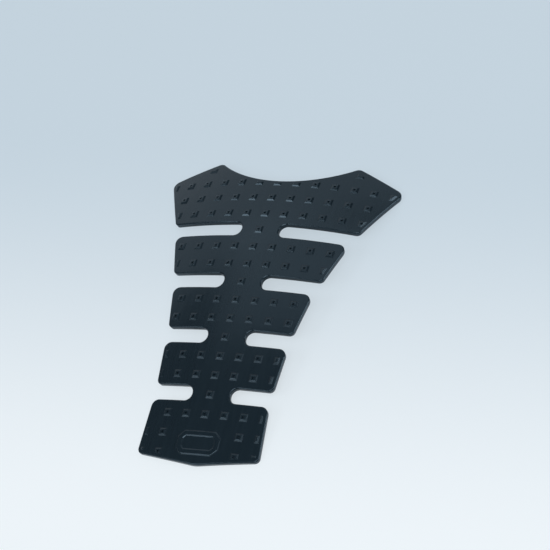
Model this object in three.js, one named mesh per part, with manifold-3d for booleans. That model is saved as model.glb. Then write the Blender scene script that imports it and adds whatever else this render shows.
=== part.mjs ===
// A stick-on motorcycle tank pad: one black rubber moulding with a spine, four pairs of ribs and a
// horned crest, covered with small pierced studs and bent to the curved surface that it protects.
//
// Millimetres. The pad is drawn flat, with X across it, Y up its spine from the point of its foot,
// and Z out of its face from its back. Then it is bent, and laid face up on its own corners.

import * as THREE from 'three';
import { mergeVertices } from 'three/addons/utils/BufferGeometryUtils.js';
import { TessellateModifier } from 'three/addons/modifiers/TessellateModifier.js';
import Module from 'manifold-3d';

// Plate
const PLATE_THICKNESS = 3.2;
const BEVEL_WIDTH = 0.6;       // round the whole edge of the face
const BEVEL_DEPTH = 0.6;

// Studs, small square pyramids with flat tops, on a square grid
const PITCH = 13;
const FIRST_ROW = 7.1;         // the lowest row above the point of the foot
const GRID_SIDE = -0.4;        // the middle column lies this far off the outline's middle, to the left
const STUD_BASE = 5.2;
const STUD_TOP = 3.2;
const STUD_HEIGHT = 0.9;
const PIN_HOLE = 1.4;          // the blind hole in the top of each stud
const PIN_HOLE_DEPTH = 1.5;
const PIN_HOLE_SIDES = 6;
const PLAIN_BORDER = 2.15;     // no stud comes nearer to the edge than this
const SHOULDER_BORDER = 4.2;   // the same along the two shoulders, from the crest's sides to the horns
const LEAST_STUD = 0.12;       // a trimmed stud with less of its volume left is left out
const LEAST_MOUTH = 0.95;      // a stud has a hole only if this share of the hole's mouth is left

// Ribs, from the foot up: the pad's width at each one's lower and upper corners
const RIBS = [
  { lowerWidth: 83.6, upperWidth: 79.6 },
  { lowerWidth: 80.2, upperWidth: 84.6 },
  { lowerWidth: 86.4, upperWidth: 97.4 },
  { lowerWidth: 103.8, upperWidth: 122.2 },
];
const UPPER_CORNER = 4.8;
const LOWER_CORNER = 3.4;
const FOOT_RISE = 5.8;         // from the point of the foot to its corners
const FOOT_POINT_RADIUS = 20;

// Slots between the ribs, one at every third row of studs
const ROWS_PER_RIB = 3;
const SLOT_RISE = 0.5;         // from the middle of the row up to the middle of its slot
const SLOT_WIDTH = 10;
const SLOT_CORNER = 4.9;       // just under half the width, so that a slot's end is almost a half circle
const SPINE_WIDTH = 26;

// Crest, from the last slot up to the horns, with a round collar between them
const CREST_LOWER_WIDTH = 129.8;
const CREST_WIDTH = 166.6;     // at its sharpest points, before they are rounded
const CREST_SIDE = 38.9;       // from the last slot up to those points
const CREST_CORNER = 5;
const COLLAR_RADIUS = 76;
const CREST_MIDDLE = 35.2;     // from the last slot up to the collar's lowest point
const HORN_SPREAD = 97.4;      // between the horns' sharp points
const HORN_RADIUS = 4;

// Plain name plaque, a raised panel with a sunk middle that takes the place of some studs
const PLAQUE_WIDTH = 29;
const PLAQUE_HEIGHT = 16;
const PLAQUE_CENTRE = 14.3;    // above the point of the foot, in the middle column
const PLAQUE_CORNER = 4;       // the cut across each corner
const PLAQUE_RAISE = 0.6;
const PLAQUE_SLOPE = 0.7;      // how far its sloped sides reach
const PLAQUE_FRAME = 2.6;      // width of the frame round the sunk middle
const PLAQUE_SINK = 0.4;       // from the frame down to the middle

// Bend: the spine is straight at the foot and bends evenly more towards the horns
const SPINE_RADIUS_TOP = 283;
const CROSS_RADIUS_FOOT = 370;
const CROSS_RADIUS_TOP = 283;

const ARC_ERROR = 0.06;        // how far a round edge may stand off its true arc
const SMALLEST_RADIUS = 0.3;   // what is left of a corner that an inset has used up
const LONGEST_EDGE = 20;       // of a triangle, so that the bend stays smooth
const OVERLAP = 0.5;           // how far joined solids reach into each other
const SPINE_STEPS = 24;
const TESSELLATE_PASSES = 20;
const WELD = 1e-3;

const FACE = PLATE_THICKNESS + STUD_HEIGHT;
const BLACK_RUBBER = 0x252e34;

const wasm = await Module();
wasm.setup();

function rowHeight(row) {
  return FIRST_ROW + row * PITCH;
}

// The middle of a slot, counted from 1 at the foot
function slotHeight(slot) {
  return rowHeight(slot * ROWS_PER_RIB) + SLOT_RISE;
}

// Where the crest stands, at the upper edge of the last slot
function crestBase() {
  return slotHeight(RIBS.length) + SLOT_WIDTH / 2;
}

function shoulderCorner() {
  return new THREE.Vector2(CREST_WIDTH / 2, crestBase() + CREST_SIDE);
}

function collarCentre() {
  return new THREE.Vector2(0, crestBase() + CREST_MIDDLE + COLLAR_RADIUS);
}

// The sharp corner between the shoulder's line and the collar's arc
function hornCorner() {
  const x = HORN_SPREAD / 2;
  return new THREE.Vector2(x, collarCentre().y - Math.sqrt(COLLAR_RADIUS ** 2 - x ** 2));
}

// Points on an arc, as many for any inset because their number comes from the drawn radius
function arc(centre, radius, from, to, drawnRadius) {
  const step = 2 * Math.acos(1 - Math.min(0.5, ARC_ERROR / drawnRadius));
  const count = Math.max(2, Math.ceil(Math.abs(to - from) / step));
  const points = [];
  for (let i = 0; i <= count; i++) {
    const angle = from + (to - from) * i / count;
    points.push(new THREE.Vector2(
      centre.x + radius * Math.cos(angle),
      centre.y + radius * Math.sin(angle),
    ));
  }
  return points;
}

// The shorter way round from one angle to another
function nearTurn(from, to) {
  const turn = to - from;
  return from + Math.atan2(Math.sin(turn), Math.cos(turn));
}

// The corner of an outline that runs anticlockwise, moved in by the inset and rounded
function roundedCorner(before, corner, after, radius, inset) {
  const into = corner.clone().sub(before).normalize();
  const out = after.clone().sub(corner).normalize();
  const bend = Math.sign(into.cross(out));
  const halfAngle = Math.acos(THREE.MathUtils.clamp(-into.dot(out), -1, 1)) / 2;
  const inward = out.clone().sub(into).normalize().multiplyScalar(bend);
  const moved = corner.clone().addScaledVector(inward, inset / Math.sin(halfAngle));
  const newRadius = Math.max(SMALLEST_RADIUS, radius - bend * inset);
  const centre = moved.addScaledVector(inward, bend * newRadius / Math.sin(halfAngle));
  const from = Math.atan2(-bend * into.x, bend * into.y);
  const to = nearTurn(from, Math.atan2(-bend * out.x, bend * out.y));
  return arc(centre, newRadius, from, to, radius);
}

// From the crest's shoulder, round the horn and down the collar to the centreline
function hornAndCollar(inset) {
  const collar = collarCentre();
  const shoulder = shoulderCorner();
  const along = hornCorner().sub(shoulder).normalize();
  const inward = new THREE.Vector2(-along.y, along.x);
  const radius = Math.max(SMALLEST_RADIUS, HORN_RADIUS - inset);
  const collarRadius = COLLAR_RADIUS + inset;

  // The horn's round touches the shoulder's line and the collar's arc
  const start = shoulder.clone().addScaledVector(inward, inset + radius).sub(collar);
  const nearest = -start.dot(along);
  const short = Math.sqrt(nearest ** 2 - start.lengthSq() + (collarRadius + radius) ** 2);
  const centre = start.addScaledVector(along, nearest - short).add(collar);

  const toCollar = Math.atan2(collar.y - centre.y, collar.x - centre.x);
  const from = Math.atan2(-inward.y, -inward.x);
  const hornArc = arc(centre, radius, from, nearTurn(from, toCollar), HORN_RADIUS);
  const collarStart = toCollar + Math.PI;
  const collarEnd = nearTurn(collarStart, -Math.PI / 2);
  const collarArc = arc(collar, collarRadius, collarStart, collarEnd, COLLAR_RADIUS);
  return [...hornArc, ...collarArc.slice(1)];
}

// The sharp corners up the right side, from the foot to the crest's widest point
function rightCorners() {
  const corners = [];
  let lower = FOOT_RISE;
  RIBS.forEach((rib, i) => {
    const slotLow = slotHeight(i + 1) - SLOT_WIDTH / 2;
    const slotHigh = slotHeight(i + 1) + SLOT_WIDTH / 2;
    corners.push({ x: rib.lowerWidth / 2, y: lower, radius: LOWER_CORNER });
    corners.push({ x: rib.upperWidth / 2, y: slotLow, radius: UPPER_CORNER });
    corners.push({ x: SPINE_WIDTH / 2, y: slotLow, radius: SLOT_CORNER });
    corners.push({ x: SPINE_WIDTH / 2, y: slotHigh, radius: SLOT_CORNER });
    lower = slotHigh;
  });
  corners.push({ x: CREST_LOWER_WIDTH / 2, y: lower, radius: LOWER_CORNER });
  return [
    ...corners.map(({ x, y, radius }) => ({ at: new THREE.Vector2(x, y), radius })),
    { at: shoulderCorner(), radius: CREST_CORNER },
  ];
}

// The pad's whole outline, anticlockwise, moved in all round by the inset
function padOutline(inset) {
  const corners = rightCorners();
  const foot = new THREE.Vector2(0, 0);
  const right = [];
  corners.forEach(({ at, radius }, i) => {
    const before = i > 0 ? corners[i - 1].at : foot;
    const after = i < corners.length - 1 ? corners[i + 1].at : hornCorner();
    right.push(...roundedCorner(before, at, after, radius, inset));
  });
  right.push(...hornAndCollar(inset));
  const left = right.slice(0, -1).reverse().map(({ x, y }) => new THREE.Vector2(-x, y));
  const footRight = corners[0].at;
  const footLeft = new THREE.Vector2(-footRight.x, footRight.y);
  return [...roundedCorner(footLeft, foot, footRight, FOOT_POINT_RADIUS, inset), ...right, ...left];
}

// A closed solid through rings of equally many points, each ring at its own height
function stack(levels) {
  const rings = levels.map(({ outline }) => outline);
  const count = rings[0].length;
  const vertices = levels.flatMap(({ outline, z }) => outline.flatMap((p) => [p.x, p.y, z]));
  const faces = [];
  for (let ring = 0; ring < rings.length - 1; ring++) {
    for (let i = 0; i < count; i++) {
      const j = (i + 1) % count;
      const [a, b] = [ring * count + i, ring * count + j];
      faces.push(a, b, b + count, a, b + count, a + count);
    }
  }
  const top = (rings.length - 1) * count;
  for (const [a, b, c] of THREE.ShapeUtils.triangulateShape(rings[0], [])) {
    faces.push(a, c, b);
  }
  for (const [a, b, c] of THREE.ShapeUtils.triangulateShape(rings[rings.length - 1], [])) {
    faces.push(top + a, top + b, top + c);
  }
  const geometry = new THREE.BufferGeometry();
  geometry.setAttribute('position', new THREE.Float32BufferAttribute(vertices, 3));
  geometry.setIndex(faces);
  return geometry;
}

function toSolid(geometry) {
  const bare = geometry.clone();
  bare.deleteAttribute('normal');
  bare.deleteAttribute('uv');
  const welded = mergeVertices(bare, WELD);
  return new wasm.Manifold(new wasm.Mesh({
    numProp: 3,
    vertProperties: new Float32Array(welded.attributes.position.array),
    triVerts: new Uint32Array(welded.index.array),
  }));
}

function toGeometry(solid) {
  const mesh = solid.getMesh();
  const geometry = new THREE.BufferGeometry();
  geometry.setAttribute('position', new THREE.BufferAttribute(mesh.vertProperties, 3));
  geometry.setIndex(new THREE.BufferAttribute(mesh.triVerts, 1));
  return geometry;
}

function plate() {
  return toSolid(stack([
    { outline: padOutline(0), z: 0 },
    { outline: padOutline(0), z: PLATE_THICKNESS - BEVEL_DEPTH },
    { outline: padOutline(BEVEL_WIDTH), z: PLATE_THICKNESS },
  ]));
}

function square(x, y, size) {
  const half = size / 2;
  return [[-half, -half], [half, -half], [half, half], [-half, half]]
    .map(([dx, dy]) => new THREE.Vector2(x + dx, y + dy));
}

// How far an outline runs in from its own edge while a stud's side climbs to the given height
function studDraft(height) {
  return (STUD_BASE - STUD_TOP) / 2 * height / STUD_HEIGHT;
}

function stud(x, y) {
  return toSolid(stack([
    { outline: square(x, y, STUD_BASE + 2 * studDraft(OVERLAP)), z: PLATE_THICKNESS - OVERLAP },
    { outline: square(x, y, STUD_TOP), z: FACE },
  ]));
}

function pinHole(x, y) {
  const depth = PIN_HOLE_DEPTH + OVERLAP;
  const hole = new THREE.CylinderGeometry(PIN_HOLE / 2, PIN_HOLE / 2, depth, PIN_HOLE_SIDES);
  hole.rotateX(Math.PI / 2);
  hole.translate(x, y, FACE - PIN_HOLE_DEPTH + depth / 2);
  return toSolid(hole);
}

// The room that studs may fill: the pad's outline less its plain border, drafted as a stud's sides are
function studRoom() {
  const room = toSolid(stack([
    { outline: padOutline(PLAIN_BORDER - studDraft(OVERLAP)), z: PLATE_THICKNESS - OVERLAP },
    { outline: padOutline(PLAIN_BORDER + studDraft(STUD_HEIGHT + OVERLAP)), z: FACE + OVERLAP },
  ]));
  const along = hornCorner().sub(shoulderCorner()).normalize();
  const trimShoulder = (solid, side) => {
    const inward = new THREE.Vector3(-along.y * side, along.x, -studDraft(1)).normalize();
    const shoulder = new THREE.Vector3(shoulderCorner().x * side, shoulderCorner().y, PLATE_THICKNESS);
    const border = SHOULDER_BORDER * Math.hypot(inward.x, inward.y);
    return solid.trimByPlane(inward.toArray(), inward.dot(shoulder) + border);
  };
  return trimShoulder(trimShoulder(room, 1), -1);
}

function meetsPlaque(x, y) {
  const clear = STUD_BASE / 2;
  return Math.abs(x - GRID_SIDE) < PLAQUE_WIDTH / 2 + clear
    && Math.abs(y - PLAQUE_CENTRE) < PLAQUE_HEIGHT / 2 + clear;
}

// Every place on the grid that the plaque leaves free and where the room cuts into a stud or holds it
function studPlaces(room) {
  const places = [];
  const least = LEAST_STUD * stud(0, 0).trimByPlane([0, 0, 1], PLATE_THICKNESS).volume();
  const roomAboveFace = room.trimByPlane([0, 0, 1], PLATE_THICKNESS);
  const columns = Math.ceil(CREST_WIDTH / 2 / PITCH);
  for (let row = 0; rowHeight(row) < hornCorner().y; row++) {
    for (let column = -columns; column <= columns; column++) {
      const place = { x: GRID_SIDE + column * PITCH, y: rowHeight(row) };
      if (meetsPlaque(place.x, place.y)) continue;
      if (stud(place.x, place.y).intersect(roomAboveFace).volume() > least) places.push(place);
    }
  }
  return places;
}

// The plaque's outline, a rectangle with its corners cut off, drawn smaller by the inset
function plaqueOutline(inset) {
  const [halfWidth, halfHeight] = [PLAQUE_WIDTH / 2 - inset, PLAQUE_HEIGHT / 2 - inset];
  const cut = PLAQUE_CORNER - inset * (2 - Math.SQRT2);
  const corner = [[halfWidth, halfHeight - cut], [halfWidth - cut, halfHeight]];
  const right = [...corner.map(([x, y]) => [x, -y]).reverse(), ...corner];
  const left = right.map(([x, y]) => [-x, y]).reverse();
  return [...right, ...left].map(([x, y]) => new THREE.Vector2(GRID_SIDE + x, PLAQUE_CENTRE + y));
}

function plaque() {
  const top = PLATE_THICKNESS + PLAQUE_RAISE;
  const floor = top - PLAQUE_SINK;
  const slopePerHeight = PLAQUE_SLOPE / PLAQUE_RAISE;
  const body = toSolid(stack([
    { outline: plaqueOutline(-OVERLAP * slopePerHeight), z: PLATE_THICKNESS - OVERLAP },
    { outline: plaqueOutline(PLAQUE_SLOPE), z: top },
  ]));
  const middle = toSolid(stack([
    { outline: plaqueOutline(PLAQUE_SLOPE + PLAQUE_FRAME + PLAQUE_SINK * slopePerHeight), z: floor },
    { outline: plaqueOutline(PLAQUE_SLOPE + PLAQUE_FRAME - OVERLAP * slopePerHeight), z: top + OVERLAP },
  ]));
  return body.subtract(middle);
}

// Whether trimming has left enough of a stud for its hole
function keepsMouth(hole, room) {
  const mouth = hole.trimByPlane([0, 0, 1], PLATE_THICKNESS).trimByPlane([0, 0, -1], -FACE);
  return mouth.intersect(room).volume() > LEAST_MOUTH * mouth.volume();
}

function flatPad() {
  const room = studRoom();
  const places = studPlaces(room);
  const studs = wasm.Manifold.union(places.map(({ x, y }) => stud(x, y))).intersect(room);
  const holes = places.map(({ x, y }) => pinHole(x, y)).filter((hole) => keepsMouth(hole, room));
  return plate().add(studs).add(plaque()).subtract(wasm.Manifold.union(holes));
}

// Where the spine's line is, and how far it has turned down, at a height up the flat pad
function spineAt(height) {
  const turnAt = (y) => y ** 2 / (2 * hornCorner().y * SPINE_RADIUS_TOP);
  const step = height / SPINE_STEPS;
  let [y, z] = [0, 0];
  for (let i = 0; i < SPINE_STEPS; i++) {
    const turn = turnAt((i + 0.5) * step);
    y += step * Math.cos(turn);
    z -= step * Math.sin(turn);
  }
  return { y, z, turn: turnAt(height) };
}

// A point of the flat pad, in its place once the pad is bent; lengths across the face are kept
function bend(point) {
  const spine = spineAt(point.y);
  const share = point.y / hornCorner().y;
  const curve = THREE.MathUtils.lerp(1 / CROSS_RADIUS_FOOT, 1 / CROSS_RADIUS_TOP, share);
  const angle = curve * point.x;
  const outward = point.z - FACE;
  const drop = (1 - Math.cos(angle)) / curve - outward * Math.cos(angle);
  return new THREE.Vector3(
    Math.sin(angle) / curve + outward * Math.sin(angle),
    spine.y - drop * Math.sin(spine.turn),
    spine.z - drop * Math.cos(spine.turn),
  );
}

// The middle of the solid's volume, along Y
function balancePoint(geometry) {
  const position = geometry.attributes.position;
  const corner = (i) => new THREE.Vector3().fromBufferAttribute(position, geometry.index.getX(i));
  let [volume, moment] = [0, 0];
  for (let i = 0; i < geometry.index.count; i += 3) {
    const [a, b, c] = [corner(i), corner(i + 1), corner(i + 2)];
    const part = a.dot(b.clone().cross(c)) / 6;
    volume += part;
    moment += part * (a.y + b.y + c.y) / 4;
  }
  return moment / volume;
}

// The slope, seen from the side, of the surface that the pad comes to rest on: it touches the lowest
// points on each side of the balance point
function restingSlope(geometry) {
  const balance = balancePoint(geometry);
  const position = geometry.attributes.position;
  const points = [];
  for (let i = 0; i < position.count; i++) {
    points.push(new THREE.Vector2(position.getY(i), position.getZ(i)));
  }
  points.sort((a, b) => a.x - b.x || a.y - b.y);
  const hull = [];
  for (const point of points) {
    while (hull.length > 1) {
      const [a, b] = hull.slice(-2);
      if (b.clone().sub(a).cross(point.clone().sub(b)) > 0) break;
      hull.pop();
    }
    hull.push(point);
  }
  const next = hull.findIndex((point) => point.x > balance);
  const edge = hull[next].clone().sub(hull[next - 1]);
  return Math.atan2(edge.y, edge.x);
}

function bentPad() {
  const flat = new TessellateModifier(LONGEST_EDGE, TESSELLATE_PASSES).modify(toGeometry(flatPad()));
  const position = flat.attributes.position;
  for (let i = 0; i < position.count; i++) {
    const point = bend(new THREE.Vector3().fromBufferAttribute(position, i));
    position.setXYZ(i, point.x, point.y, point.z);
  }
  const pad = mergeVertices(flat, WELD);
  pad.rotateX(-restingSlope(pad));
  pad.computeBoundingBox();
  const { min, max } = pad.boundingBox;
  pad.translate(0, -(min.y + max.y) / 2, -min.z);
  pad.computeVertexNormals();
  return pad;
}

const rubber = new THREE.MeshStandardMaterial({ color: BLACK_RUBBER, roughness: 0.45, metalness: 0 });
const tankPad = new THREE.Mesh(bentPad(), rubber);
tankPad.name = 'tank_pad';

const part = new THREE.Group();
part.add(tankPad);
export default part;
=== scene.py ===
import math

import bmesh
import bpy
import numpy as np
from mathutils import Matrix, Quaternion, Vector


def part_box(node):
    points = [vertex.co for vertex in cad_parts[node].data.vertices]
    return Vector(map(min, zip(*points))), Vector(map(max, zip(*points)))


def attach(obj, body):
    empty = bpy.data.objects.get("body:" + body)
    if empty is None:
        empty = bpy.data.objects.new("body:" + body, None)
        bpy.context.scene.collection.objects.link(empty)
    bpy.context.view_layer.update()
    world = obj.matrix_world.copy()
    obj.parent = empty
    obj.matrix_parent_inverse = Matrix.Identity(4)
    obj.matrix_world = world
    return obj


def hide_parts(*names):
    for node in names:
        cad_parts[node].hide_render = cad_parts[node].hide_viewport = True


# Plate
PLATE_THICKNESS = 0.0032
BEVEL_WIDTH = 0.0006
BEVEL_DEPTH = 0.0006
EDGE_ROUND = 0.0002
EDGE_ROUND_STEPS = 2

# Studs
PITCH = 0.013
FIRST_ROW = 0.0071
GRID_SIDE = -0.0004      # the middle column lies this far off the outline's middle, to the left
COLUMNS = 6              # columns on each side of the middle one
STUD_BASE = 0.0052
STUD_TOP = 0.0032
STUD_HEIGHT = 0.0009
STUD_ROUND = 0.0004
STUD_ROUND_STEPS = 3
PIN_HOLE = 0.0014
PIN_HOLE_DEPTH = 0.0015
PIN_HOLE_FLARE = 0.0001
PIN_HOLE_SIDES = 16
PLAIN_BORDER = 0.00215
SHOULDER_BORDER = 0.0042
LEAST_STUD = 0.12        # a trimmed stud with a smaller share of itself left is left out
LEAST_HOLED = 0.65       # a stud has its hole only if this share of it is left

# Ribs, from the foot up: the pad's width at each one's lower and upper corners
RIB_WIDTHS = [(0.0836, 0.0796), (0.0802, 0.0846), (0.0864, 0.0974), (0.1038, 0.1222)]
UPPER_CORNER = 0.0048
UPPER_CORNER_STEPS = 8
LOWER_CORNER = 0.0034
LOWER_CORNER_STEPS = 6
FOOT_RISE = 0.0058
FOOT_POINT_RADIUS = 0.020
FOOT_POINT_STEPS = 6
ROWS_PER_RIB = 3
SLOT_RISE = 0.0005       # from the middle of the row up to the middle of its slot
SLOT_WIDTH = 0.010
SLOT_CORNER = 0.0049     # just under half the width, so that a slot's end is almost a half circle
SLOT_CORNER_STEPS = 10
SPINE_WIDTH = 0.026

# Crest
CREST_LOWER_WIDTH = 0.1298
CREST_WIDTH = 0.1666
CREST_SIDE = 0.0389
CREST_CORNER = 0.005
CREST_CORNER_STEPS = 10
CREST_MIDDLE = 0.0352
COLLAR_RADIUS = 0.076
COLLAR_STEPS = 30
COLLAR_CLEAR = 2         # the horns' rounds take up the collar's first and last steps
HORN_SPREAD = 0.0974
HORN_RADIUS = 0.004
HORN_STEPS = 8

# Plaque
PLAQUE_WIDTH = 0.029
PLAQUE_HEIGHT = 0.016
PLAQUE_CENTRE = 0.0143
PLAQUE_CORNER = 0.004
PLAQUE_RAISE = 0.0006
PLAQUE_SLOPE = 0.0007
PLAQUE_FRAME = 0.0026
PLAQUE_SINK = 0.0004

# Bend, in which the spine is straight at the foot and has its smallest radius at the horns
SPINE_RADIUS_TOP = 0.283
CROSS_RADIUS_FOOT = 0.370
CROSS_RADIUS_TOP = 0.283
SPINE_STEPS = 48
RESTING_SLOPE = -0.16149  # in radians, of the bent back from its foot corners to its crest corners

# Modelling
OVERLAP = 0.0005         # how far a piece reaches into the plate that it is joined to
SAME_HEIGHT = 0.00001    # heights that differ by less count as one
UPWARDS = 0.9            # a face points up if its normal's Z is above this
CORNER_REACH = 0.0025    # an upright edge this near a corner of the outline belongs to it
LEAST_ROUND = 0.0003     # the smallest radius left to a corner that is moved inwards
BEND_CUT = 0.28 * PITCH  # from a stud's middle to the cuts beside it
SHORTEST_EDGE = 0.00002  # shorter edges left by the cuts are closed up
SMOOTH_ANGLE = 28        # in degrees, the sharpest fold that is shaded smooth

# Floor and lamps
FLOOR_SIZE = 6.0
LAMP_DISTANCE = 2.0
LAMP_COLOUR = (0.88, 0.94, 1.0)

# Worked out from the values above
FACE = PLATE_THICKNESS + STUD_HEIGHT
CREST_BASE = FIRST_ROW + len(RIB_WIDTHS) * ROWS_PER_RIB * PITCH + SLOT_RISE + SLOT_WIDTH / 2
COLLAR_CENTRE = CREST_BASE + CREST_MIDDLE + COLLAR_RADIUS
HORN_HEIGHT = COLLAR_CENTRE - math.sqrt(COLLAR_RADIUS**2 - (HORN_SPREAD / 2) ** 2)


def add_camera():
    """The photograph's viewpoint: from the right of the foot, rolled so that the spine leans right."""
    azimuth, elevation, roll = math.radians(42.65), math.radians(49.77), math.radians(31.98)
    aim = Vector((0.0106, 0.0321, 0.0))
    distance = 2.0383
    back = Vector((
        math.sin(azimuth) * math.cos(elevation),
        -math.cos(azimuth) * math.cos(elevation),
        math.sin(elevation),
    ))
    data = bpy.data.cameras.new("camera")
    data.lens = 213.5
    data.sensor_width = 36
    data.shift_x, data.shift_y = -0.00181, -0.00040
    camera = bpy.data.objects.new("camera", data)
    camera.location = aim + back * distance
    camera.rotation_mode = "QUATERNION"
    camera.rotation_quaternion = back.to_track_quat("Z", "Y") @ Quaternion((0, 0, 1), -roll)
    bpy.context.scene.collection.objects.link(camera)
    bpy.context.scene.camera = camera


def deselect_all():
    for piece in bpy.context.selected_objects:
        piece.select_set(False)


def pick(piece):
    """Makes a piece the only selected one and the active one."""
    deselect_all()
    piece.select_set(True)
    bpy.context.view_layer.objects.active = piece


def edit(piece):
    """Opens a piece in edit mode with nothing in it selected."""
    pick(piece)
    bpy.ops.object.mode_set(mode="EDIT")
    bpy.ops.mesh.select_mode(type="VERT")
    bpy.ops.mesh.select_all(action="DESELECT")


def close_edit():
    bpy.ops.object.mode_set(mode="OBJECT")


def select_faces(piece, wanted):
    bpy.ops.mesh.select_mode(type="FACE")
    mesh = bmesh.from_edit_mesh(piece.data)
    for face in mesh.faces:
        face.select_set(wanted(face))
    bmesh.update_edit_mesh(piece.data)


def select_edges(piece, wanted):
    bpy.ops.mesh.select_mode(type="EDGE")
    mesh = bmesh.from_edit_mesh(piece.data)
    for edge in mesh.edges:
        edge.select_set(wanted(edge))
    bmesh.update_edit_mesh(piece.data)


def faces_up(face):
    return face.normal.z > UPWARDS


def is_upright(edge):
    """Whether an edge of a piece with straight walls runs up its wall."""
    return abs(edge.verts[0].co.z - edge.verts[1].co.z) > SAME_HEIGHT


def lies_at(edge, height):
    return all(abs(vertex.co.z - height) < SAME_HEIGHT for vertex in edge.verts)


def lies_above(edge, height):
    return all(vertex.co.z > height + SAME_HEIGHT for vertex in edge.verts)


def face_outwards():
    bpy.ops.mesh.select_all(action="SELECT")
    bpy.ops.mesh.normals_make_consistent(inside=False)


def apply_place(piece):
    pick(piece)
    bpy.ops.object.transform_apply(location=True, rotation=True, scale=True)


def copy_to(pattern, places):
    """One piece that holds a copy of the pattern at each place, given as (x, y)."""
    copies = []
    for x, y in places:
        piece = pattern.copy()
        piece.data = pattern.data.copy()
        piece.location = (x, y, 0)
        bpy.context.scene.collection.objects.link(piece)
        copies.append(piece)
    bpy.data.objects.remove(pattern)
    deselect_all()
    for piece in copies:
        piece.select_set(True)
    bpy.context.view_layer.objects.active = copies[0]
    bpy.ops.object.join()
    joined = bpy.context.active_object
    apply_place(joined)
    return joined


def combine(piece, other, operation):
    """Joins, cuts or trims a piece by another closed piece, which is used up."""
    cut = piece.modifiers.new("combine", "BOOLEAN")
    cut.operation = operation
    cut.solver = "MANIFOLD"
    cut.object = other
    pick(piece)
    bpy.ops.object.modifier_apply(modifier=cut.name)
    bpy.data.objects.remove(other)


def right_corners():
    """Sharp corners up the right side, from the foot to the horn: x, y, radius and steps of the round."""
    corners = []
    lower = FOOT_RISE
    for i, (lower_width, upper_width) in enumerate(RIB_WIDTHS):
        slot_low = FIRST_ROW + (i + 1) * ROWS_PER_RIB * PITCH + SLOT_RISE - SLOT_WIDTH / 2
        slot_high = slot_low + SLOT_WIDTH
        corners.append((lower_width / 2, lower, LOWER_CORNER, LOWER_CORNER_STEPS))
        corners.append((upper_width / 2, slot_low, UPPER_CORNER, UPPER_CORNER_STEPS))
        corners.append((SPINE_WIDTH / 2, slot_low, SLOT_CORNER, SLOT_CORNER_STEPS))
        corners.append((SPINE_WIDTH / 2, slot_high, SLOT_CORNER, SLOT_CORNER_STEPS))
        lower = slot_high
    corners.append((CREST_LOWER_WIDTH / 2, lower, LOWER_CORNER, LOWER_CORNER_STEPS))
    corners.append((CREST_WIDTH / 2, CREST_BASE + CREST_SIDE, CREST_CORNER, CREST_CORNER_STEPS))
    corners.append((HORN_SPREAD / 2, HORN_HEIGHT, HORN_RADIUS, HORN_STEPS))
    return corners


def collar_points():
    """Points along the collar's arc between the horns, from right to left."""
    half = math.asin(HORN_SPREAD / 2 / COLLAR_RADIUS)
    points = []
    for i in range(COLLAR_CLEAR, COLLAR_STEPS - COLLAR_CLEAR + 1):
        angle = half * (1 - 2 * i / COLLAR_STEPS)
        points.append((COLLAR_RADIUS * math.sin(angle), COLLAR_CENTRE - COLLAR_RADIUS * math.cos(angle)))
    return points


def sharp_outline(name, height):
    """A flat face with the pad's outline, its corners still sharp, and the list of corners to round."""
    right = right_corners()
    foot = (0.0, 0.0, FOOT_POINT_RADIUS, FOOT_POINT_STEPS)
    left = [(-x, y, radius, steps) for x, y, radius, steps in reversed(right)]
    collar = [(x, y, 0.0, 0) for x, y in collar_points()]
    loop = [foot, *right, *collar, *left]
    deselect_all()
    bpy.ops.mesh.primitive_circle_add(vertices=len(loop), radius=PITCH, fill_type="NGON")
    piece = bpy.context.active_object
    piece.name = name

    # The circle's size doesn't matter, as each of its points moves to one of the outline's
    for vertex, (x, y, _, _) in zip(piece.data.vertices, loop):
        vertex.co = (x, y, height)
    return piece, loop


def round_corners(piece, loop, inset):
    """Rounds the upright edges at the outline's corners, moved in by the inset."""
    count = len(loop)
    points = [Vector(corner[:2]) for corner in loop]
    for i, (_, _, radius, steps) in enumerate(loop):
        if not radius:
            continue
        into = (points[i] - points[i - 1]).normalized()
        out = (points[(i + 1) % count] - points[i]).normalized()
        turn = 1 if into.cross(out) > 0 else -1
        half = (math.pi - into.angle(out)) / 2
        corner = points[i] + (out - into).normalized() * turn * inset / math.sin(half)
        radius_left = max(LEAST_ROUND, radius - turn * inset)

        def upright_here(edge, corner=corner):
            middle = (edge.verts[0].co + edge.verts[1].co) / 2
            return is_upright(edge) and (middle.xy - corner).length < CORNER_REACH
        select_edges(piece, upright_here)
        bpy.ops.mesh.bevel(offset=radius_left / math.tan(half), segments=steps, affect="EDGES")


def make_plate():
    """The plain plate, with a bevel round its face and small rounds on its three long edges."""
    plate, loop = sharp_outline("moulded_pad", 0.0)
    wall_top = PLATE_THICKNESS - BEVEL_DEPTH
    edit(plate)
    bpy.ops.mesh.select_all(action="SELECT")
    bpy.ops.mesh.extrude_region_move(TRANSFORM_OT_translate={"value": (0, 0, wall_top)})
    face_outwards()
    round_corners(plate, loop, 0.0)
    select_faces(plate, faces_up)
    bpy.ops.mesh.inset(thickness=BEVEL_WIDTH, depth=BEVEL_DEPTH)
    for height in (0.0, wall_top, PLATE_THICKNESS):
        select_edges(plate, lambda edge: lies_at(edge, height))
        bpy.ops.mesh.bevel(offset=EDGE_ROUND, segments=EDGE_ROUND_STEPS, affect="EDGES")
    close_edit()
    return plate


def stud_draft(height):
    """How far a stud's side runs in while it climbs to the given height."""
    return (STUD_BASE - STUD_TOP) / 2 * height / STUD_HEIGHT


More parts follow.
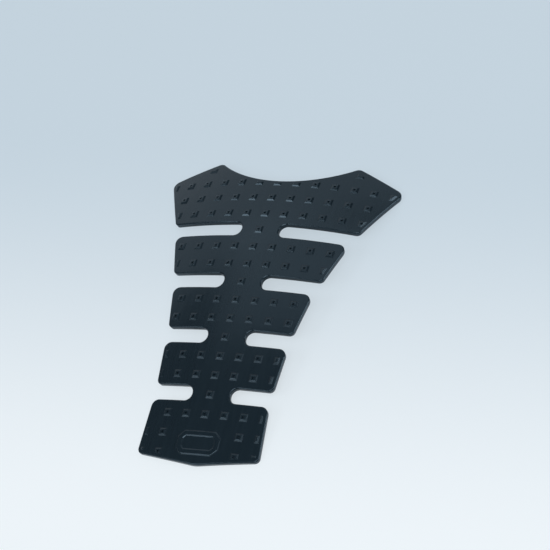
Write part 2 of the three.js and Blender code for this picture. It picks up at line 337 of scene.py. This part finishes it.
def make_room():
    """The room that studs may fill, inside the plain border, with sides drafted as theirs are."""
    room, loop = sharp_outline("room", PLATE_THICKNESS - 2 * OVERLAP)
    inset = PLAIN_BORDER - stud_draft(OVERLAP)
    climb = STUD_HEIGHT + 2 * OVERLAP
    edit(room)
    select_faces(room, lambda face: True)
    bpy.ops.mesh.inset(thickness=inset)
    bpy.ops.mesh.select_all(action="INVERT")
    bpy.ops.mesh.delete(type="FACE")
    bpy.ops.mesh.select_all(action="SELECT")
    bpy.ops.mesh.extrude_region_move(TRANSFORM_OT_translate={"value": (0, 0, OVERLAP)})
    face_outwards()
    round_corners(room, loop, inset)
    select_faces(room, faces_up)
    bpy.ops.mesh.inset(thickness=stud_draft(climb), depth=climb)

    # The border is wider along the two shoulders
    draft = stud_draft(climb) / climb
    for side in (1, -1):
        tip = Vector((side * CREST_WIDTH / 2, CREST_BASE + CREST_SIDE, PLATE_THICKNESS))
        horn = Vector((side * HORN_SPREAD / 2, HORN_HEIGHT, PLATE_THICKNESS))
        along = (horn - tip).normalized()
        outward = Vector((along.y, -along.x, 0)) * side
        bpy.ops.mesh.select_all(action="SELECT")
        bpy.ops.mesh.bisect(
            plane_co=tip - outward * SHOULDER_BORDER,
            plane_no=outward + Vector((0, 0, draft)),
            use_fill=True,
            clear_outer=True,
        )
    close_edit()
    return room


def grid_place(x, y):
    """The column and row of the stud nearest to a point."""
    return round((x - GRID_SIDE) / PITCH), round((y - FIRST_ROW) / PITCH)


def place_at(column, row):
    return GRID_SIDE + column * PITCH, FIRST_ROW + row * PITCH


def meets_plaque(x, y):
    clear = STUD_BASE / 2
    beside = abs(x - GRID_SIDE) < PLAQUE_WIDTH / 2 + clear
    level = abs(y - PLAQUE_CENTRE) < PLAQUE_HEIGHT / 2 + clear
    return beside and level


def make_stud():
    """One whole stud over the origin, a square pyramid with a flat top, that reaches into the plate."""
    height = STUD_HEIGHT + OVERLAP
    deselect_all()
    bpy.ops.mesh.primitive_cone_add(
        vertices=4,
        radius1=(STUD_BASE / 2 + stud_draft(OVERLAP)) * math.sqrt(2),
        radius2=STUD_TOP / 2 * math.sqrt(2),
        depth=height,
        location=(0, 0, FACE - height / 2),
        rotation=(0, 0, math.pi / 4),
    )
    stud = bpy.context.active_object
    stud.name = "stud"
    apply_place(stud)
    edit(stud)
    select_edges(stud, lambda edge: lies_at(edge, FACE))
    bpy.ops.mesh.bevel(offset=STUD_ROUND, segments=STUD_ROUND_STEPS, affect="EDGES")
    close_edit()
    return stud


def volumes_on_grid(studs):
    """How much stud there is above the plate at each grid place."""
    mesh = bmesh.new()
    mesh.from_mesh(studs.data)
    parts = mesh.verts[:] + mesh.edges[:] + mesh.faces[:]
    bmesh.ops.bisect_plane(mesh, geom=parts, plane_co=(0, 0, PLATE_THICKNESS), plane_no=(0, 0, 1))
    volumes = {}
    for a, b, c in mesh.calc_loop_triangles():
        a, b, c = a.vert.co, b.vert.co, c.vert.co
        middle = (a + b + c) / 3
        height = middle.z - PLATE_THICKNESS
        if height > 0:
            place = grid_place(middle.x, middle.y)
            volumes[place] = volumes.get(place, 0.0) + height * (b - a).cross(c - a).z / 2
    mesh.free()
    return volumes


def make_studs(room):
    """All studs, trimmed to the room that they may fill, and the places of those that have a hole."""
    rows = grid_place(0, HORN_HEIGHT)[1]
    grid = [place_at(column, row) for row in range(rows + 1) for column in range(-COLUMNS, COLUMNS + 1)]
    stud = make_stud()
    whole = sum(volumes_on_grid(stud).values())
    studs = copy_to(stud, [(x, y) for x, y in grid if not meets_plaque(x, y)])
    combine(studs, room, "INTERSECT")
    share = {place: volume / whole for place, volume in volumes_on_grid(studs).items()}

    def is_sliver(face):
        middle = face.calc_center_median()
        return share.get(grid_place(middle.x, middle.y), 0.0) < LEAST_STUD
    edit(studs)
    select_faces(studs, is_sliver)
    bpy.ops.mesh.delete(type="FACE")
    close_edit()
    holed = [place_at(*place) for place, left in share.items() if left > LEAST_HOLED]
    return studs, holed


def make_plaque():
    """The plain plaque on the foot: a raised frame with sloped sides round a sunk middle."""
    deselect_all()
    bpy.ops.mesh.primitive_cube_add(
        size=1,
        location=(GRID_SIDE, PLAQUE_CENTRE, PLATE_THICKNESS - OVERLAP / 2),
        scale=(PLAQUE_WIDTH, PLAQUE_HEIGHT, OVERLAP),
    )
    plaque = bpy.context.active_object
    plaque.name = "plaque"
    apply_place(plaque)
    edit(plaque)
    select_edges(plaque, is_upright)
    bpy.ops.mesh.bevel(offset=PLAQUE_CORNER, segments=1, affect="EDGES")
    select_faces(plaque, faces_up)
    bpy.ops.mesh.inset(thickness=PLAQUE_SLOPE, depth=PLAQUE_RAISE)
    bpy.ops.mesh.inset(thickness=PLAQUE_FRAME)
    bpy.ops.mesh.inset(thickness=PLAQUE_SINK * PLAQUE_SLOPE / PLAQUE_RAISE, depth=-PLAQUE_SINK)
    select_edges(plaque, lambda edge: lies_above(edge, PLATE_THICKNESS))
    bpy.ops.mesh.bevel(offset=EDGE_ROUND, segments=EDGE_ROUND_STEPS, affect="EDGES")
    close_edit()
    return plaque


def make_pin_holes(places):
    """What the pin holes take away: a round pin at each place, flared at the mouth."""
    depth = PIN_HOLE_DEPTH - PIN_HOLE_FLARE
    deselect_all()
    bpy.ops.mesh.primitive_cylinder_add(
        vertices=PIN_HOLE_SIDES,
        radius=PIN_HOLE / 2,
        depth=depth,
        location=(0, 0, FACE - PIN_HOLE_FLARE - depth / 2),
    )
    pin = bpy.context.active_object
    pin.name = "pin_hole"
    apply_place(pin)

    # The flare widens as fast as it climbs, and goes on as far above the stud's top as it goes below it
    climb = 2 * PIN_HOLE_FLARE
    flared = 1 + 2 * climb / PIN_HOLE
    edit(pin)
    select_faces(pin, faces_up)
    bpy.ops.mesh.extrude_region_move(TRANSFORM_OT_translate={"value": (0, 0, climb)})
    bpy.ops.transform.resize(value=(flared, flared, 1))
    close_edit()
    return copy_to(pin, places)


def cut_for_bending(pad):
    """Cuts the flat faces along lines between the studs, so that they can follow the bend."""
    rows = grid_place(0, HORN_HEIGHT)[1]
    edit(pad)
    for side in (-BEND_CUT, BEND_CUT):
        for column in range(-COLUMNS, COLUMNS + 1):
            bpy.ops.mesh.select_all(action="SELECT")
            bpy.ops.mesh.bisect(plane_co=(place_at(column, 0)[0] + side, 0, 0), plane_no=(1, 0, 0))
        for row in range(rows + 1):
            bpy.ops.mesh.select_all(action="SELECT")
            bpy.ops.mesh.bisect(plane_co=(0, place_at(0, row)[1] + side, 0), plane_no=(0, 1, 0))
    bpy.ops.mesh.select_all(action="SELECT")
    bpy.ops.mesh.dissolve_degenerate(threshold=SHORTEST_EDGE)
    bpy.ops.mesh.quads_convert_to_tris(quad_method="BEAUTY", ngon_method="BEAUTY")
    face_outwards()
    close_edit()


def bend(pad):
    """Bends the flat pad, its spine more towards the horns, keeping lengths across the face."""
    flat = np.empty(len(pad.data.vertices) * 3)
    pad.data.vertices.foreach_get("co", flat)
    x, y, z = flat.reshape(-1, 3).T

    # The spine's curve grows evenly on the way up, so its turn grows with the square of the way
    spine_y, spine_z = np.zeros_like(y), np.zeros_like(y)
    step = y / SPINE_STEPS
    for i in range(SPINE_STEPS):
        turn = ((i + 0.5) * step) ** 2 / (2 * HORN_HEIGHT * SPINE_RADIUS_TOP)
        spine_y += step * np.cos(turn)
        spine_z -= step * np.sin(turn)
    turn = y**2 / (2 * HORN_HEIGHT * SPINE_RADIUS_TOP)

    share = y / HORN_HEIGHT
    curve = (1 - share) / CROSS_RADIUS_FOOT + share / CROSS_RADIUS_TOP
    angle = curve * x
    outward = z - FACE
    drop = (1 - np.cos(angle)) / curve - outward * np.cos(angle)
    bent = np.stack([
        np.sin(angle) / curve + outward * np.sin(angle),
        spine_y - drop * np.sin(turn),
        spine_z - drop * np.cos(turn),
    ], axis=1)
    pad.data.vertices.foreach_set("co", bent.ravel())
    pad.data.update()


def lay_down(pad):
    """Turns the bent pad to its resting slope and puts it where the frame's solid lies."""
    pad.rotation_euler = (-RESTING_SLOPE, 0, 0)
    apply_place(pad)
    low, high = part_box("tank_pad")
    ys = [vertex.co.y for vertex in pad.data.vertices]
    zs = [vertex.co.z for vertex in pad.data.vertices]
    pad.location = (0, (low[1] + high[1] - min(ys) - max(ys)) / 2, low[2] - min(zs))
    apply_place(pad)


def smooth(pad):
    pick(pad)
    bpy.ops.object.shade_smooth_by_angle(angle=math.radians(SMOOTH_ANGLE))
    weigh = pad.modifiers.new("weigh", "WEIGHTED_NORMAL")
    weigh.keep_sharp = True
    weigh.weight = 90
    bpy.ops.object.modifier_apply(modifier=weigh.name)


def make_pad():
    pad = make_plate()
    studs, holed = make_studs(make_room())
    combine(pad, studs, "UNION")
    combine(pad, make_plaque(), "UNION")
    combine(pad, make_pin_holes(holed), "DIFFERENCE")
    cut_for_bending(pad)
    bend(pad)
    lay_down(pad)
    smooth(pad)
    return pad


def node_maker(material):
    """Gives the functions that add a node to a material and join two sockets."""
    tree = material.node_tree

    def add(kind, **settings):
        node = tree.nodes.new(kind)
        for name, value in settings.items():
            setattr(node, name, value)
        return node
    return add, tree.links.new


def black_rubber():
    """Satin black rubber with a blue-grey cast and a painted blue tint on its shine, its colour and shine
    faintly streaked along the spine.
    """
    material = bpy.data.materials.new("black_rubber")
    material.use_nodes = True
    add, link = node_maker(material)
    shader = material.node_tree.nodes["Principled BSDF"]
    shader.inputs["IOR"].default_value = 1.55
    # Painted reflection colour: the shine is tinted blue to stand in for the bluish surroundings that it
    # mirrors
    shader.inputs["Specular Tint"].default_value = (0.66, 0.86, 1.0, 1)
    place = add("ShaderNodeTexCoord")

    streaked = add("ShaderNodeMapping")
    streaked.inputs["Scale"].default_value = (5.0, 0.6, 1.0)
    link(place.outputs["Object"], streaked.inputs["Vector"])
    streaks = add("ShaderNodeTexNoise")
    streaks.inputs["Scale"].default_value = 90
    streaks.inputs["Detail"].default_value = 3
    link(streaked.outputs["Vector"], streaks.inputs["Vector"])
    tint = add("ShaderNodeMix", data_type="RGBA")
    tint.inputs["A"].default_value = (0.0068, 0.0136, 0.0193, 1)
    tint.inputs["B"].default_value = (0.0102, 0.0190, 0.0257, 1)
    link(streaks.outputs["Fac"], tint.inputs["Factor"])
    link(tint.outputs["Result"], shader.inputs["Base Color"])

    gloss = add("ShaderNodeMapRange")
    gloss.inputs["To Min"].default_value = 0.20
    gloss.inputs["To Max"].default_value = 0.27
    link(streaks.outputs["Fac"], gloss.inputs["Value"])
    link(gloss.outputs["Result"], shader.inputs["Roughness"])

    grain = add("ShaderNodeTexNoise")
    grain.inputs["Scale"].default_value = 1400
    grain.inputs["Detail"].default_value = 2
    link(place.outputs["Object"], grain.inputs["Vector"])
    bump = add("ShaderNodeBump")
    bump.inputs["Strength"].default_value = 0.12
    bump.inputs["Distance"].default_value = 0.0001
    link(grain.outputs["Fac"], bump.inputs["Height"])
    link(bump.outputs["Normal"], shader.inputs["Normal"])
    return material


def pale_floor():
    """A pale blue-grey floor with painted light that brightens it towards the front, seen brighter than
    it is lit.
    """
    plain_share = 0.75
    shine_share = 0.5
    material = bpy.data.materials.new("pale_floor")
    material.use_nodes = True
    add, link = node_maker(material)
    shader = material.node_tree.nodes["Principled BSDF"]
    shader.inputs["Roughness"].default_value = 0.6
    shader.inputs["Specular IOR Level"].default_value = 0.2
    # Painted light: the floor's colour runs from blue-grey at the back to near white at the front,
    # standing in for light falling on it
    place = add("ShaderNodeTexCoord")
    split = add("ShaderNodeSeparateXYZ")
    link(place.outputs["Object"], split.inputs["Vector"])
    height = add("ShaderNodeMapRange", interpolation_type="SMOOTHSTEP")
    height.inputs["From Min"].default_value = -0.16
    height.inputs["From Max"].default_value = 0.14
    link(split.outputs["Y"], height.inputs["Value"])
    colour = add("ShaderNodeMix", data_type="RGBA")
    colour.inputs["A"].default_value = (0.90, 0.95, 0.98, 1)
    colour.inputs["B"].default_value = (0.60, 0.70, 0.775, 1)
    link(height.outputs["Result"], colour.inputs["Factor"])
    link(colour.outputs["Result"], shader.inputs["Base Color"])

    # The camera sees the floor mostly in its plain colour, without light on it, and the pad's shine sees
    # half as much of that
    shown = add("ShaderNodeEmission")
    link(colour.outputs["Result"], shown.inputs["Color"])
    path = add("ShaderNodeLightPath")
    share = add("ShaderNodeMath", operation="MULTIPLY")
    share.inputs[1].default_value = plain_share
    seen = add("ShaderNodeMath", operation="MULTIPLY_ADD")
    seen.inputs[1].default_value = shine_share
    link(path.outputs["Is Glossy Ray"], seen.inputs[0])
    link(path.outputs["Is Camera Ray"], seen.inputs[2])
    link(seen.outputs["Value"], share.inputs[0])
    blend = add("ShaderNodeMixShader")
    link(share.outputs["Value"], blend.inputs["Fac"])
    link(shader.outputs["BSDF"], blend.inputs[1])
    link(shown.outputs["Emission"], blend.inputs[2])
    link(blend.outputs["Shader"], material.node_tree.nodes["Material Output"].inputs["Surface"])
    return material


def make_floor():
    deselect_all()
    bpy.ops.mesh.primitive_plane_add(size=FLOOR_SIZE)
    floor = bpy.context.active_object
    floor.name = "floor"
    floor.data.materials.append(pale_floor())
    return floor


def add_lamp(name, azimuth, elevation, size, watts):
    """A soft rectangular lamp aimed at the pad; the azimuth runs from +X towards +Y."""
    azimuth, elevation = math.radians(azimuth), math.radians(elevation)
    towards = Vector((
        math.cos(elevation) * math.cos(azimuth),
        math.cos(elevation) * math.sin(azimuth),
        math.sin(elevation),
    ))
    data = bpy.data.lights.new(name, "AREA")
    data.shape = "RECTANGLE"
    data.size, data.size_y = size
    data.energy = watts
    data.color = LAMP_COLOUR
    lamp = bpy.data.objects.new(name, data)
    lamp.location = towards * LAMP_DISTANCE
    lamp.visible_camera = False
    lamp.rotation_mode = "QUATERNION"
    lamp.rotation_quaternion = towards.to_track_quat("Z", "Y")
    bpy.context.scene.collection.objects.link(lamp)


def light_room():
    """Soft lamps all round and a dim room; what the flat face mirrors at the foot is kept dark."""
    world = bpy.data.worlds.new("world")
    bpy.context.scene.world = world
    world.use_nodes = True
    room = world.node_tree.nodes["Background"]
    room.inputs["Color"].default_value = (*LAMP_COLOUR, 1)
    room.inputs["Strength"].default_value = 0.07
    add_lamp("front_softbox", 230, 47, (0.55, 0.75), 5.5)
    add_lamp("left_wall", 212, 52, (1.1, 0.9), 2.2)
    add_lamp("front_low", 244, 18, (0.7, 0.9), 3.2)
    add_lamp("right_softbox", 12, 32, (0.8, 0.6), 1.1)
    add_lamp("right_low", 8, 13, (1.0, 0.4), 5.6)
    add_lamp("back_wall", 118, 24, (4.0, 1.7), 11.8)
    add_lamp("back_high", 93, 60, (2.2, 0.8), 3.4)
    add_lamp("front_fill", 306, 58, (1.4, 1.4), 23)


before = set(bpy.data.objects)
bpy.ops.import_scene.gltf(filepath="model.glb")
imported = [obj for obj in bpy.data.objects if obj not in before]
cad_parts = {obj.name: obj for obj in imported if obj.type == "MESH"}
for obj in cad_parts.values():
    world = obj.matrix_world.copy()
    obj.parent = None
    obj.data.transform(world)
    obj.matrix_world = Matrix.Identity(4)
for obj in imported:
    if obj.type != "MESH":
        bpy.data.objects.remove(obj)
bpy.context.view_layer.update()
add_camera()
pad = make_pad()
pad.data.materials.clear()
pad.data.materials.append(black_rubber())
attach(pad, "root")
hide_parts("tank_pad")
make_floor()
light_room()
bpy.context.scene.view_settings.view_transform = "Standard"
